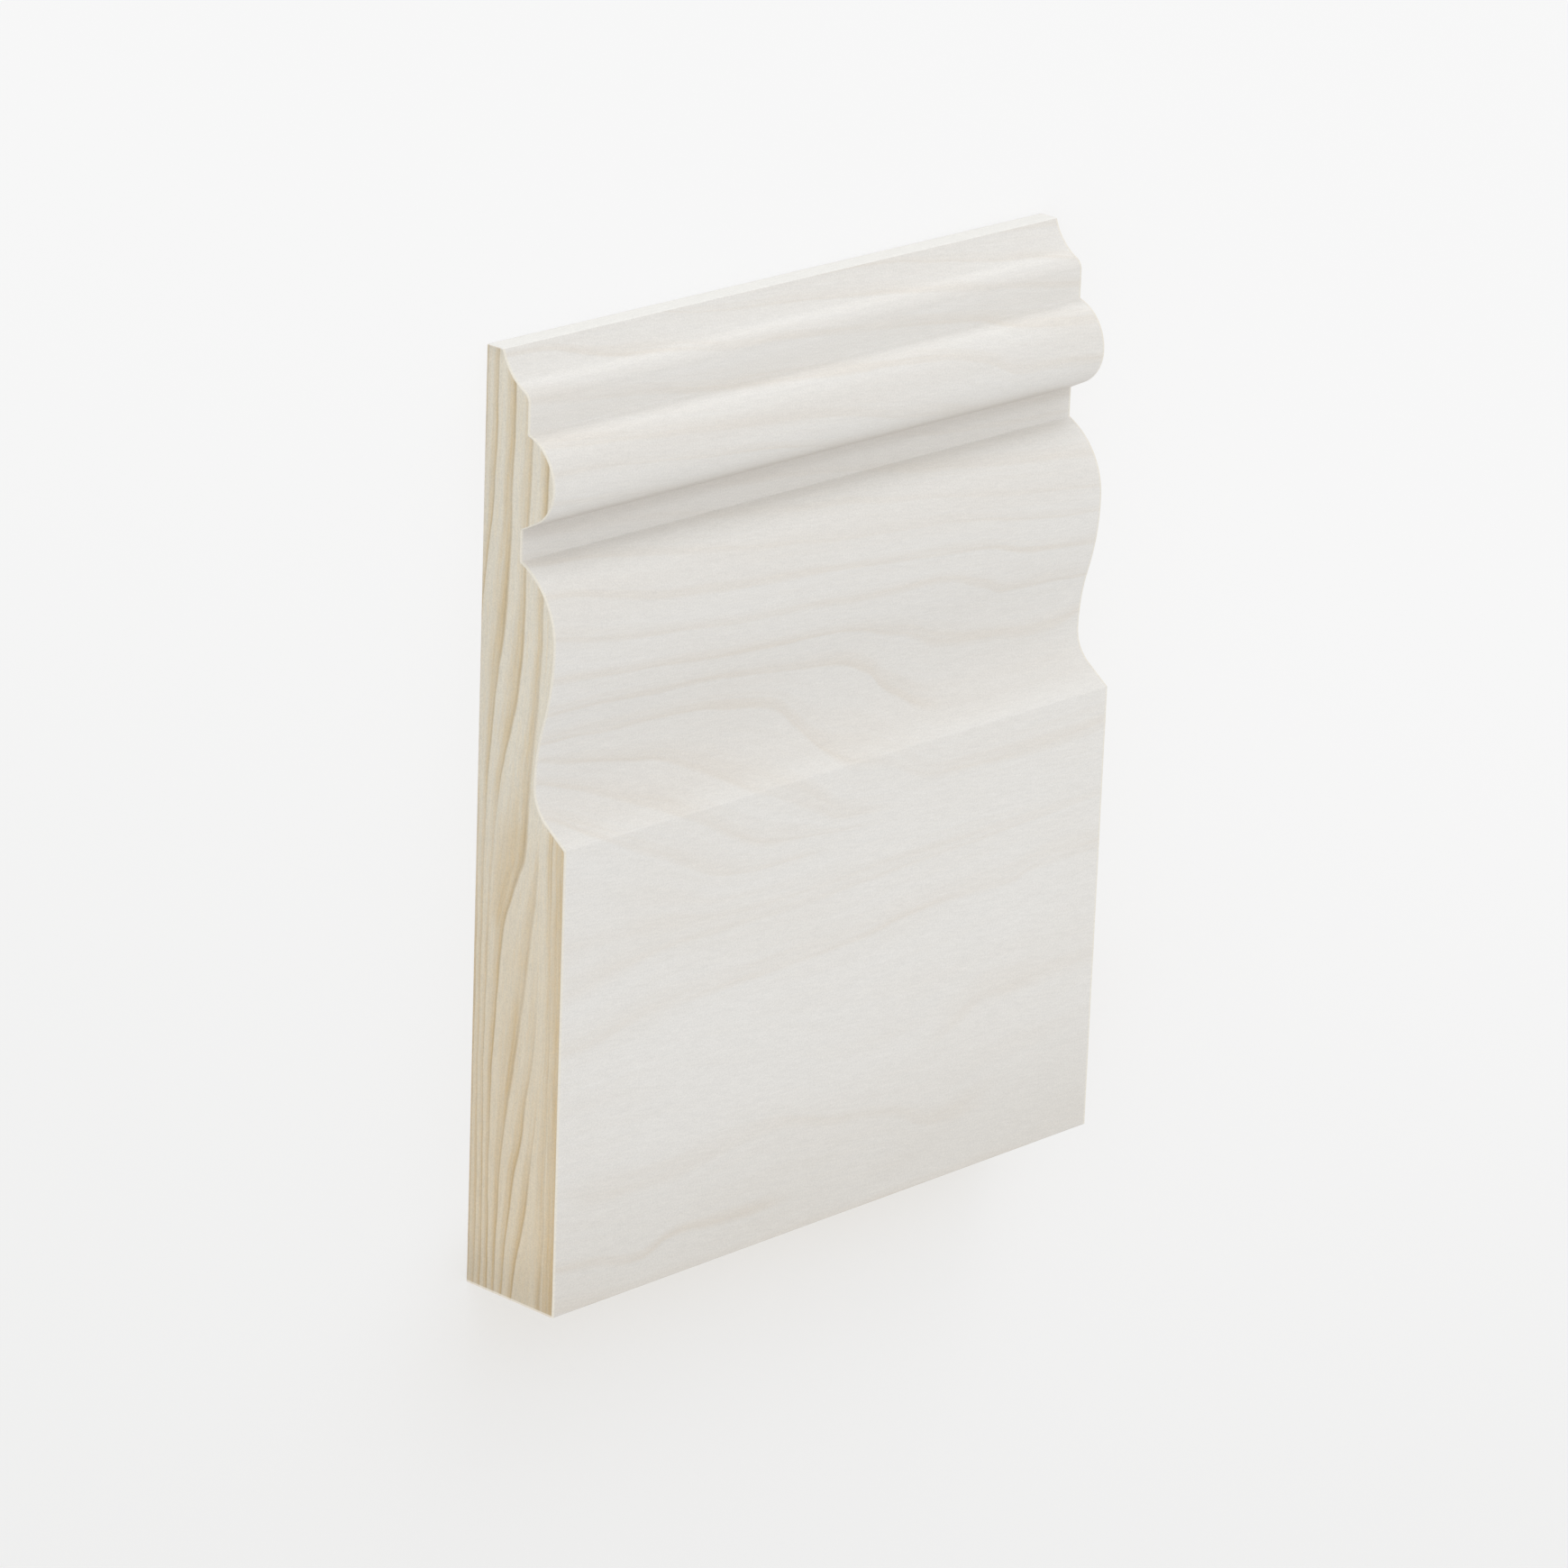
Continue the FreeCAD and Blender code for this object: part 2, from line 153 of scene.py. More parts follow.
# The growth lines through the board's thickness, from the back out, given in the same way but by mm
# above the foot, and the course by {mm above the foot: mm from the back}
END_LINES = [
    (0.0, 0.3, {0: -3, 220: -2}),
    (0.5, 0.2, {0: -1.2, 150: -1.2, 185: 0, 200: 0.5, 220: 1.1}),
    ({0: 0.6, 80: 0.6, 92: 0.35, 118: 0.3, 130: 0.5, 150: 0.6, 180: 0.8, 220: 0.7}, 0.2,
     {0: 0.6, 60: 0.8, 90: 0.9, 110: 0.8, 130: 0.2, 150: 0.1, 165: 0.9, 175: 2.2, 183: 3.2,
      190: 3.9, 200: 4.2, 220: 4.3}),
    ({0: 0.7, 30: 0.6, 110: 0.5, 130: 0.75, 150: 0.9, 170: 0.85, 220: 0.95}, 0.2,
     {0: 2.4, 20: 2.6, 50: 2.3, 80: 2.6, 105: 2.9, 115: 3.2, 125: 4, 135: 4.9, 146: 6, 155: 7.5,
      160: 8.1, 170: 8.9, 180: 9.3, 200: 9.5, 210: 9.8, 220: 9.8}),
    ({0: 0.8, 30: 0.65, 80: 0.5, 110: 0.4, 125: 0.8, 150: 0.8, 170: 0.65, 220: 0.7},
     {0: 0.2, 125: 0.2, 135: 0, 150: 0, 165: 0.2, 220: 0.2},
     {0: 4.5, 30: 4.4, 60: 4.2, 80: 4.6, 95: 5.1, 110: 6.2, 120: 7.3, 127: 8.8, 135: 11, 140: 12.2,
      150: 13.5, 160: 14.2, 175: 14.4, 190: 15, 205: 15.2, 220: 15.5}),
    ({0: 0.9, 40: 0.8, 60: 0.85, 90: 0.85, 108: 0.85, 118: 0.6, 135: 0.7, 160: 0.7, 178: 0.8,
      190: 1, 220: 1},
     {0: 0.15, 83: 0.15, 94: -0.35, 108: -0.35, 120: 0.1, 160: 0.3, 220: 0.3},
     {0: 6.8, 30: 6.4, 50: 6.8, 60: 7.3, 70: 7.9, 80: 8.7, 89: 10, 95: 11.8, 101: 13.8, 107: 15.9,
      120: 16.8, 130: 17.7, 140: 18.8, 155: 19.8, 175: 20, 195: 20.4, 220: 20.4}),
    ({0: 0.85, 20: 0.9, 40: 0.72, 55: 0.78, 66: 0.8, 76: 0.6, 90: 0.45, 105: 0.35, 116: 0, 220: 0},
     {0: 0.15, 60: 0.15, 80: 0.35, 220: 0.35},
     {0: 9.2, 15: 9.3, 30: 10.2, 38: 10.9, 47: 12.5, 57: 14.1, 65: 15.5, 75: 17.1, 85: 18.3,
      97: 19.7, 108: 20.2, 118: 20.3, 126: 20.8, 145: 23, 220: 25}),
    ({0: 0.85, 20: 0.8, 40: 0.75, 55: 0.45, 80: 0.2, 90: 0, 220: 0}, 0.2,
     {0: 11.7, 10: 12.1, 20: 13.2, 30: 14.7, 40: 16.9, 50: 18.3, 60: 20, 75: 20.8, 90: 21.1,
      105: 21.2, 117: 21.2, 126: 22, 145: 25, 220: 27}),
    ({0: 0.9, 20: 0.85, 35: 0.55, 50: 0.15, 60: 0, 220: 0}, 0.2,
     {0: 14.9, 8: 15.8, 17: 17.5, 25: 19, 37: 20.4, 50: 21.6, 60: 22.1, 80: 22.4, 98: 22.3,
      108: 22.1, 117: 22, 126: 24, 145: 27.5, 220: 29}),
    ({0: 0.65, 25: 0.5, 50: 0.45, 90: 0.5, 105: 0.8, 118: 0.85, 220: 0.6},
     {0: 0.6, 25: 0.3, 50: -0.2, 95: -0.3, 108: -0.35, 220: 0.1},
     {0: 24.4, 30: 24.8, 60: 24.9, 90: 24.7, 105: 24.4, 117: 24.5, 126: 26.3, 145: 28.2,
      220: 30.2}),
    ({0: 0.95, 20: 0.85, 50: 0.75, 90: 0.8, 105: 0.9, 118: 0.9, 220: 0.6},
     {0: -1, 90: -1, 104: -0.7, 118: -0.7, 220: 0.1},
     {0: 28.4, 110: 28.6, 145: 29.8, 220: 32}),
    (0.0, 0.3, {0: 31, 110: 31, 220: 33.5}),
]

# How much painted shade the face takes, by mm above the foot: most under the bead, some in the
# hollows
PAINTED_SHADE_BY_HEIGHT = {
    0: 0, 40: 0.08, 60: 0, 110: 0, 113: 0.1, 117.5: 0.3, 121: 0.2, 128: 0.1, 147: 0.05, 157: 0.1,
    163: 0.28, 167: 0.14, 169.5: 0.03, 171.4: 0.02, 172.6: 0.2, 173.6: 0.3, 175.5: 0.3, 177.5: 0.42,
    179.5: 0.82, 180.6: 0.88, 181.8: 1, 183.5: 0.72, 185.5: 0.33, 188: 0.1, 191.5: 0.05,
    195.5: 0.27, 199: 0.03, 202: 0, 204: 0.1, 206: 0.16, 207.5: 0.1, 208.6: 0.05, 209.6: 0.2,
    210.4: 0.26, 211.5: 0.1, 212.4: 0, 213.5: 0.02, 216: 0.15, 218: 0.1, 220: 0.12,
}

# Where the glaze is drawn paler on an edge as a painted highlight, or darker in a corner as painted
# shade: (mm above the foot, how far it reaches in mm, how much lighter)
PAINTED_EDGE_LIGHTS = [(212.7, 1.1, 0.05), (202.3, 0.6, -0.06), (200.9, 1.2, 0.045)]

# How much of the warmer tone a cut end takes, by mm above the foot
END_WARMTH = {0: 1, 20: 0.95, 40: 0.83, 80: 0.6, 110: 0.25, 130: 0, 220: 0}


def kind_of(maker, **fixed):
    """Makes properties of one kind, each from its name, default and description."""

    def made(name, default, about):
        return maker(name=name, default=default, description=about, **fixed)

    return made


length = kind_of(bpy.props.FloatProperty, min=0.0, unit="LENGTH", precision=5)
angle = kind_of(bpy.props.FloatProperty, subtype="ANGLE")
share = kind_of(bpy.props.FloatProperty, min=0.0, max=2.0, subtype="FACTOR")
number = kind_of(bpy.props.FloatProperty, min=0.0)
focal = kind_of(bpy.props.FloatProperty, min=1.0, subtype="DISTANCE_CAMERA")
count = kind_of(bpy.props.IntProperty, min=4)
place = kind_of(bpy.props.FloatVectorProperty, subtype="TRANSLATION", unit="LENGTH")
light = kind_of(bpy.props.FloatVectorProperty, subtype="COLOR", min=0.0, max=1.0)


def slope(name, degrees, about):
    return angle(name, math.radians(degrees), about)


def linear(tone):
    """One channel of a colour as it is seen, made the amount of light it stands for."""
    return tone / 12.92 if tone <= 0.04045 else ((tone + 0.055) / 1.055) ** 2.4


def colour(name, seen, about):
    return light(name, tuple(linear(tone) for tone in seen), about)


class SkirtingSizes(bpy.types.PropertyGroup):
    """Sizes of the board, the same as those of its solid, and of its mesh."""

    board_length: length("Length", LENGTH, "Along the board")
    board_height: length("Height", HEIGHT, "From the foot to the top edge")
    board_thickness: length("Thickness", THICKNESS, "From the back to the face of the plinth")
    top_thickness: length("Top land", 5.0 * MM, "Thickness left at the top edge")
    cove_height: length("Cove height", 10.7 * MM, "Height of the cove with its nose")
    cove_radius: length("Cove radius", 14.0 * MM, "Radius of the hollow under the top land")
    nose_radius: length("Nose radius", 2.8 * MM, "Radius of the nose under the cove")
    fillet_height: length("Fillet height", 6.8 * MM, "Height of the upper fillet")
    fillet_projection: length("Fillet projection", 1.5 * MM, "From the fascia to the fillet")
    bead_crown_height: length("Bead crown", 10.8 * MM, "From the bead's front to its top")
    bead_projection: length("Bead projection", 9.7 * MM, "From the fascia to the bead's front")
    bead_lower_radius: length("Bead lower radius", 10.0 * MM, "Radius of the bead's lower round")
    underside_slope: slope("Underside slope", 27.0, "Slope of the bead's flat underside")
    fascia_setback: length("Fascia setback", 16.0 * MM, "From the face of the plinth")
    fascia_height: length("Fascia height", 7.1 * MM, "Height of the flat under the bead")
    shoulder_height: length("Shoulder height", 17.1 * MM, "From the belly up to the shoulder")
    belly_setback: length("Belly setback", 4.9 * MM, "From the face of the plinth")
    belly_drop: length("Belly drop", 18.4 * MM, "From the belly down to where the curve turns")
    belly_to_waist: length("Belly to waist", 33.3 * MM, "Height between belly and waist")
    waist_setback: length("Waist setback", 10.0 * MM, "From the face of the plinth")
    hollow_radius: length("Hollow radius", 9.6 * MM, "Radius of the hollow above the plinth")
    weathering_slope: slope("Weathering slope", 36.0, "Slope of the flat down to the arris")
    eased_edge: length("Eased edge", 0.3 * MM, "Width that sanding takes off each sharp edge")
    grain_relief: length("Grain relief", 0.03 * MM, "How far soft wood sinks between growth lines")
    edge_strip: length("Edge strip", 0.7 * MM, "Width of the first strip of faces at each edge")
    row_step: length("Row step", 0.7 * MM, "Distance between rows of points over the moulding")
    stations: count("Stations", 58, "Rows of points along the board")
    layers: count("Layers", 14, "Rows of points through the board")


class SkirtingFinish(bpy.types.PropertyGroup):
    """Colours and surface of the glaze and of the bare pine."""

    glaze: colour("Glaze", (0.892, 0.884, 0.868), "The white glaze between growth lines")
    glaze_line: colour("Glazed line", (0.874, 0.853, 0.822), "The glaze over a growth line")
    # Painted shade: the glaze drawn darker toward the foot
    glaze_foot_shade: colour("Glaze, foot", (0.945, 0.937, 0.925), "What dims the glaze at the foot")
    # Painted light: the glaze drawn paler on the top land
    glaze_top_light: colour("Glaze, top land", (0.930, 0.925, 0.908), "The fuller glaze on the top land")
    # Painted shade: the glaze drawn darker under the bead and in the hollows
    glaze_painted_shade: colour("Glaze, deep", (0.820, 0.800, 0.773), "The glaze settled under the bead")
    # Worn glaze and a painted highlight along the arris at either end
    glaze_arris_highlight: colour("Glaze, arris", (0.914, 0.893, 0.842), "The glaze worn thin at the ends")
    arris_width: length("Arris width", 0.9 * MM, "How far in from an end the glaze is worn")
    glaze_roughness: share("Glaze roughness", 0.46, "Roughness of the dry glaze")
    glaze_lap: length("Glaze lap", 0.3 * MM, "How far the glaze laps onto a cut end")
    end_early: colour("End, light wood", (0.888, 0.865, 0.808), "Spring wood on a cut end")
    end_late: colour("End, dark wood", (0.821, 0.750, 0.618), "Summer wood on a cut end")
    end_edge: colour("End, ring edge", (0.935, 0.930, 0.930), "What dims the last of a ring")
    end_warmth: colour("End, warmth", (0.982, 0.953, 0.909), "What warms an end toward its foot")
    # Sanded bare wood and a painted highlight on eased edges
    bare_arris_highlight: colour("Bare arris", (0.950, 0.925, 0.880), "Bare wood where an edge is eased")
    end_roughness: share("End roughness", 0.72, "Roughness of a cut end")
    planed_early: colour("Planed, light wood", (0.900, 0.850, 0.750), "Spring wood, planed")
    planed_late: colour("Planed, dark wood", (0.800, 0.690, 0.520), "Summer wood, planed")
    planed_roughness: share("Planed roughness", 0.6, "Roughness of planed wood")


class SkirtingStage(bpy.types.PropertyGroup):
    """Floor, light and camera."""

    floor_size: length("Floor size", 8.0, "Side of the square floor")
    floor_tone: colour("Floor", (0.955, 0.955, 0.955), "Floor as the lights see it")
    floor_gain: number("Floor gain", 1.035, "What the ground's tone is raised by where it is lit")
    ground_far: colour("Ground, top side", (0.969, 0.969, 0.969), "Ground beyond the top edge")
    ground_near: colour("Ground, foot side", (0.939, 0.939, 0.937), "Ground beyond the foot")
    shadow_left: share("Shadow, left side", 0.12, "How much of its shadow the floor shows there")
    shadow_right: share("Shadow, right side", 0.35, "How much of its shadow the floor shows there")
    shadow_foot: share("Shadow, foot side", 0.85, "How much of its shadow the floor shows there")
    sky_top: number("Sky, top side", 1.08, "Strength of the sky beyond the top edge")
    sky_foot: number("Sky, foot side", 0.81, "Strength of the sky beyond the foot")
    key: number("Key light", 0.08, "Light that the key lamp gives a surface facing it")
    key_place: place("Key place", (0.2, 1.58, 0.6), "Where the key lamp hangs")
    key_size: length("Key size", 0.9, "Side of the key lamp")
    camera_place: place("Camera place", (-1.1329, 0.5349, 1.0850), "Where the camera stands")
    camera_aim: place("Camera aim", (-0.0203, 0.0012, 0.0280), "What the camera looks at")
    camera_roll: slope("Camera roll", 2.117, "Turn of the camera about its line of sight")
    lens: focal("Lens", 165.8, "Focal length")


class Wire:
    """One output of a node. Reckoning with it adds the math nodes that do so."""

    def __init__(self, graph, socket):
        self.graph = graph
        self.socket = socket

    def __add__(self, other):
        return self.graph.math("ADD", self, other)

    def __sub__(self, other):
        return self.graph.math("SUBTRACT", self, other)

    def __rsub__(self, other):
        return self.graph.math("SUBTRACT", other, self)

    def __mul__(self, other):
        return self.graph.math("MULTIPLY", self, other)

    def __truediv__(self, other):
        return self.graph.math("DIVIDE", self, other)

    def __abs__(self):
        return self.graph.math("ABSOLUTE", self)

    __radd__, __rmul__ = __add__, __mul__


def find(sockets, key):
    """The socket of this number, or the first in use of this name, or of any name."""
    if isinstance(key, int):
        return sockets[key]
    return next(socket for socket in sockets if socket.enabled and key in (None, socket.name))


def titled(values):
    """The same values under their titles, such as "Fibre length" for fibre_length."""
    return {key.replace("_", " ").capitalize(): value for key, value in values.items()}


class Graph:
    """Adds nodes to one tree, each placed to the right of what feeds it."""

    def __init__(self, tree):
        self.tree = tree
        self.rows = {}

    def node(self, kind, title="", feeds=None, **settings):
        made = self.tree.nodes.new(kind)
        made.label = title
        for key, value in settings.items():
            setattr(made, key, value)
        for key, value in (feeds or {}).items():
            self.feed(find(made.inputs, key), value)
        before = [link.from_node.location.x for s in made.inputs for link in s.links]
        column = max(before, default=-NODE_WIDTH) + NODE_WIDTH
        row = self.rows.get(column, 0)
        self.rows[column] = row + 1
        made.location = (column, -NODE_HEIGHT * row)
        return made

    def feed(self, socket, value):
        if isinstance(value, Wire):
            self.tree.links.new(value.socket, socket)
        elif socket.type == "RGBA":
            socket.default_value = (*value, 1.0)
        else:
            socket.default_value = value

    def wires(self, node):
        """A node's outputs by their names."""
        return {socket.name: Wire(self, socket) for socket in node.outputs if socket.enabled}

    def wire(self, kind, title="", feeds=None, output=None, **settings):
        """One output of a new node: the first in use if none is named."""
        return Wire(self, find(self.node(kind, title, feeds, **settings).outputs, output))

    def math(self, operation, a, b=0.0, title="", clamp=False):
        feeds = {0: a, 1: b}
        return self.wire("ShaderNodeMath", title, feeds, operation=operation, use_clamp=clamp)

    def span(self, value, low, high, to_low=0.0, to_high=1.0, ease="LINEAR", title=""):
        """Goes from one value to another between low and high, and keeps them outside."""
        feeds = {0: value, 1: low, 2: high, 3: to_low, 4: to_high}
        return self.wire("ShaderNodeMapRange", title, feeds, interpolation_type=ease)

    def blend(self, amount, a, b):
        """A plain number that goes from a to b as the amount goes from 0 to 1."""
        return (b - a) * amount + a

    def curve(self, value, points, title=""):
        """A smooth curve through points, both of whose numbers lie between 0 and 1."""
        made = self.node("ShaderNodeFloatCurve", title, {"Value": value})
        line = made.mapping.curves[0]
        line.points[0].location = points[0]
        line.points[1].location = points[-1]
        for x, y in points[1:-1]:
            line.points.new(x, y)
        for point in line.points:
            point.handle_type = "AUTO_CLAMPED"
        made.mapping.update()
        return Wire(self, made.outputs[0])

    def noise(self, x, y, z=0.0, detail=3.0, roughness=0.6, title=""):
        feeds = {"Vector": self.join(x, y, z), "Scale": 1.0}
        feeds.update({"Detail": detail, "Roughness": roughness})
        return self.wire("ShaderNodeTexNoise", title, feeds)

    def split(self, vector):
        made = self.node("ShaderNodeSeparateXYZ", "", {0: vector})
        return [Wire(self, socket) for socket in made.outputs]

    def join(self, x, y, z, title=""):
        return self.wire("ShaderNodeCombineXYZ", title, {0: x, 1: y, 2: z})

    def tint(self, amount, a, b, blend="MIX", title=""):
        feeds = {0: amount, 6: a, 7: b}
        return self.wire("ShaderNodeMix", title, feeds, 2, data_type="RGBA", blend_type=blend)

    def shade(self, tone, amount, title=""):
        """The same colour, lighter or darker by a number near 1."""
        grey = self.join(amount, amount, amount)
        return self.tint(1.0, tone, grey, "MULTIPLY", title)

    def group(self, tree, **feeds):
        kind = {SHADER: "ShaderNodeGroup", GEOMETRY: "GeometryNodeGroup"}[self.tree.bl_idname]
        return self.wires(self.node(kind, tree.name, titled(feeds), node_tree=tree))


def new_group(name, kind, takes, gives):
    """The graph of a new node group, and the group's inputs by their names."""
    tree = bpy.data.node_groups.new(name, kind)
    for title, socket, *default in takes:
        made = tree.interface.new_socket(title, in_out="INPUT", socket_type=socket)
        for value in default:
            made.default_value = value
    for title, socket in gives:
        tree.interface.new_socket(title, in_out="OUTPUT", socket_type=socket)
    graph = Graph(tree)
    return graph, graph.wires(graph.node("NodeGroupInput"))


def close_group(graph, **results):
    """Wires the results to the group's outputs, and gives its tree."""
    graph.node("NodeGroupOutput", "", titled(results))
    return graph.tree


def growth_line_group(kind):
    """How dark the wood is within a ring: slowly darker, then abruptly light again."""
    takes = [("Ring", FLOAT), ("Start", FLOAT, 0.45), ("Strength", FLOAT, 0.7)]
    graph, given = new_group("Growth line", kind, takes, [("Line", FLOAT), ("Edge", FLOAT)])
    within = graph.math("FRACT", given["Ring"])
    rise = graph.span(within, given["Start"], RING_TURN, ease=SMOOTH, title="Slow rise")
    rise = graph.math("POWER", rise, 1.25)
    drop = graph.span(within, RING_TURN + 0.01, 1.0, 1.0, 0.0, title="Sharp edge")
    drop = drop * given["Strength"]
    edge = graph.span(within, RING_TURN - RING_EDGE, RING_TURN, ease=SMOOTH, title="Darkest last")
    return close_group(graph, line=rise * drop, edge=edge * drop)


def ring_values(graph, ring, along, values, title):
    """A number, or a curve along its course, for each ring, each between 0 and 1."""
    if any(isinstance(value, list) for value in values):
        mixed = 0.0
        for index, value in enumerate(values):
            if isinstance(value, list):
                value = graph.curve(along, value, f"{title} {index + 1}")
            reached = graph.math("GREATER_THAN", ring, float(index))
            mixed = graph.blend(reached, mixed, value)
        return mixed
    points = [(0.0, values[0])]
    for index, value in enumerate(values):
        points += [((index + part) / len(values), value) for part in (0.2, 0.98)]
    return graph.curve(ring / len(values), points, title)


def growth_figure(graph, growth_line, lines, along, across, run, reach):
    """Counts the growth lines passed, as rings, and finds how dark the wood is there.

    Along is a share of the run, across is a distance, and the reach is the span in mm that the
    lines' courses stay in.
    """
    low, high = (mm * MM for mm in reach)
    across = graph.span(across, low, high)
    courses = []
    for index, (_, _, course) in enumerate(lines):
        points = [(mm * MM / run, (far * MM - low) / (high - low)) for mm, far in course.items()]
        courses.append(graph.curve(along, points, f"Line {index}"))
    ring = sum(graph.span(across, *pair) for pair in zip(courses, courses[1:]))

    def shares(value, least):
        if isinstance(value, dict):
            return [(mm * MM / run, shares(part, least)) for mm, part in value.items()]
        return (value - least) / (1.0 - least)

    strengths = [shares(line[0], 0.0) for line in lines[1:]]
    starts = [shares(line[1], -1.0) for line in lines[1:]]
    strength = ring_values(graph, ring, along, strengths, "Strength")
    start = ring_values(graph, ring, along, starts, "Start") * 2.0 - 1.0
    return ring, graph.group(growth_line, ring=ring, start=start, strength=strength)


def share_of(at, whole):
    """A place on a side that is centred on zero, as a share of that side."""
    return at * (1.0 / whole) + 0.5


def face_figure_group(kind, growth_line):
    """Growth rings as the moulding cuts them: steep arches on the left, long lines on the right."""
    takes = [("Position", VECTOR), ("Wander", FLOAT, WANDER)]
    graph, given = new_group("Face figure", kind, takes, [("Ring", FLOAT), ("Line", FLOAT)])
    x, y, _ = graph.split(given["Position"])
    along = share_of(x, LENGTH)
    bend = graph.noise(x * 50.0, y * 200.0) - 0.5
    height = bend * given["Wander"] + y + HEIGHT / 2.0
    ring, found = growth_figure(graph, growth_line, FACE_LINES, along, height, LENGTH, FACE_REACH)
    return close_group(graph, ring=ring, line=found["Line"])


def section_figure_group(kind, growth_line):
    """Growth rings through the board's thickness, as a cut end shows them."""
    takes = [("Position", VECTOR), ("Wander", FLOAT, WANDER), ("Drift", FLOAT, 4.0 * MM)]
    gives = [("Ring", FLOAT), ("Line", FLOAT), ("Edge", FLOAT)]
    graph, given = new_group("Section figure", kind, takes, gives)
    x, y, z = graph.split(given["Position"])
    height = share_of(y, HEIGHT)
    onset = graph.span(x, -LENGTH / 2.0, -LENGTH / 5.0, ease=SMOOTH, title="None at the left end")
    drift = graph.noise(x * 8.0, y * 15.0, 5.0, detail=1.0, roughness=0.5) - SOFT_MEAN
    bend = graph.noise(0.0, y * 60.0, z * 90.0, detail=2.0, roughness=0.5) - 0.5
    depth = z + (bend * given["Wander"] + drift * onset * given["Drift"])
    ring, found = growth_figure(graph, growth_line, END_LINES, height, depth, HEIGHT, END_REACH)
    return close_group(graph, ring=ring, line=found["Line"], edge=found["Edge"])


def fibre_group():
    """Fine streaks that run along one line and a speckle of open pores."""
    takes = [
        ("Position", VECTOR),
        ("Fibre length", FLOAT, 4.5 * MM),
        ("Fibre width", FLOAT, 0.6 * MM),
        ("Slant", FLOAT, 0.0),
    ]
    gives = [("Streak", FLOAT), ("Speckle", FLOAT)]
    graph, given = new_group("Fibre streaks", SHADER, takes, gives)
    x, y, z = graph.split(given["Position"])
    width = given["Fibre width"]
    level = x * given["Slant"] + y
    streak = graph.noise(x / given["Fibre length"], level / width, z / width, title="Streaks")
    pores = [at * PORES for at in (x, y, z)]
    speckle = graph.noise(*pores, detail=1.0, roughness=0.5, title="Speckle")
    return close_group(graph, streak=streak, speckle=speckle)


def empty_graph(owner):
    """The graph of a material or world, with no nodes in it yet."""
    owner.use_nodes = True
    owner.node_tree.nodes.clear()
    return Graph(owner.node_tree)


def new_material(name):
    """A material, its graph, and the place on its object that it is looked up at."""
    material = bpy.data.materials.new(name)
    graph = empty_graph(material)
    return material, graph, graph.wire("ShaderNodeTexCoord", output="Object")


def close_material(material, graph, tone, rough, height, strength, distance):
    """Adds the Principled shader, and a bump of this strength and distance by the height."""
    bump = {"Strength": strength, "Distance": distance, "Height": height}
    normal = graph.wire("ShaderNodeBump", "", bump)
    feeds = {"Base Color": tone, "Roughness": rough, "Normal": normal}
    surface = graph.wire("ShaderNodeBsdfPrincipled", "", feeds)
    graph.node("ShaderNodeOutputMaterial", "", {"Surface": surface})
    return material


def by_height(amounts):
    """What is given by mm above the foot, as points by a share of the height."""
    return [(mm * MM / HEIGHT, amount) for mm, amount in amounts.items()]


def inboard(x):
    """How far in from the nearer end a place along the board lies."""
    return LENGTH / 2.0 - abs(x)


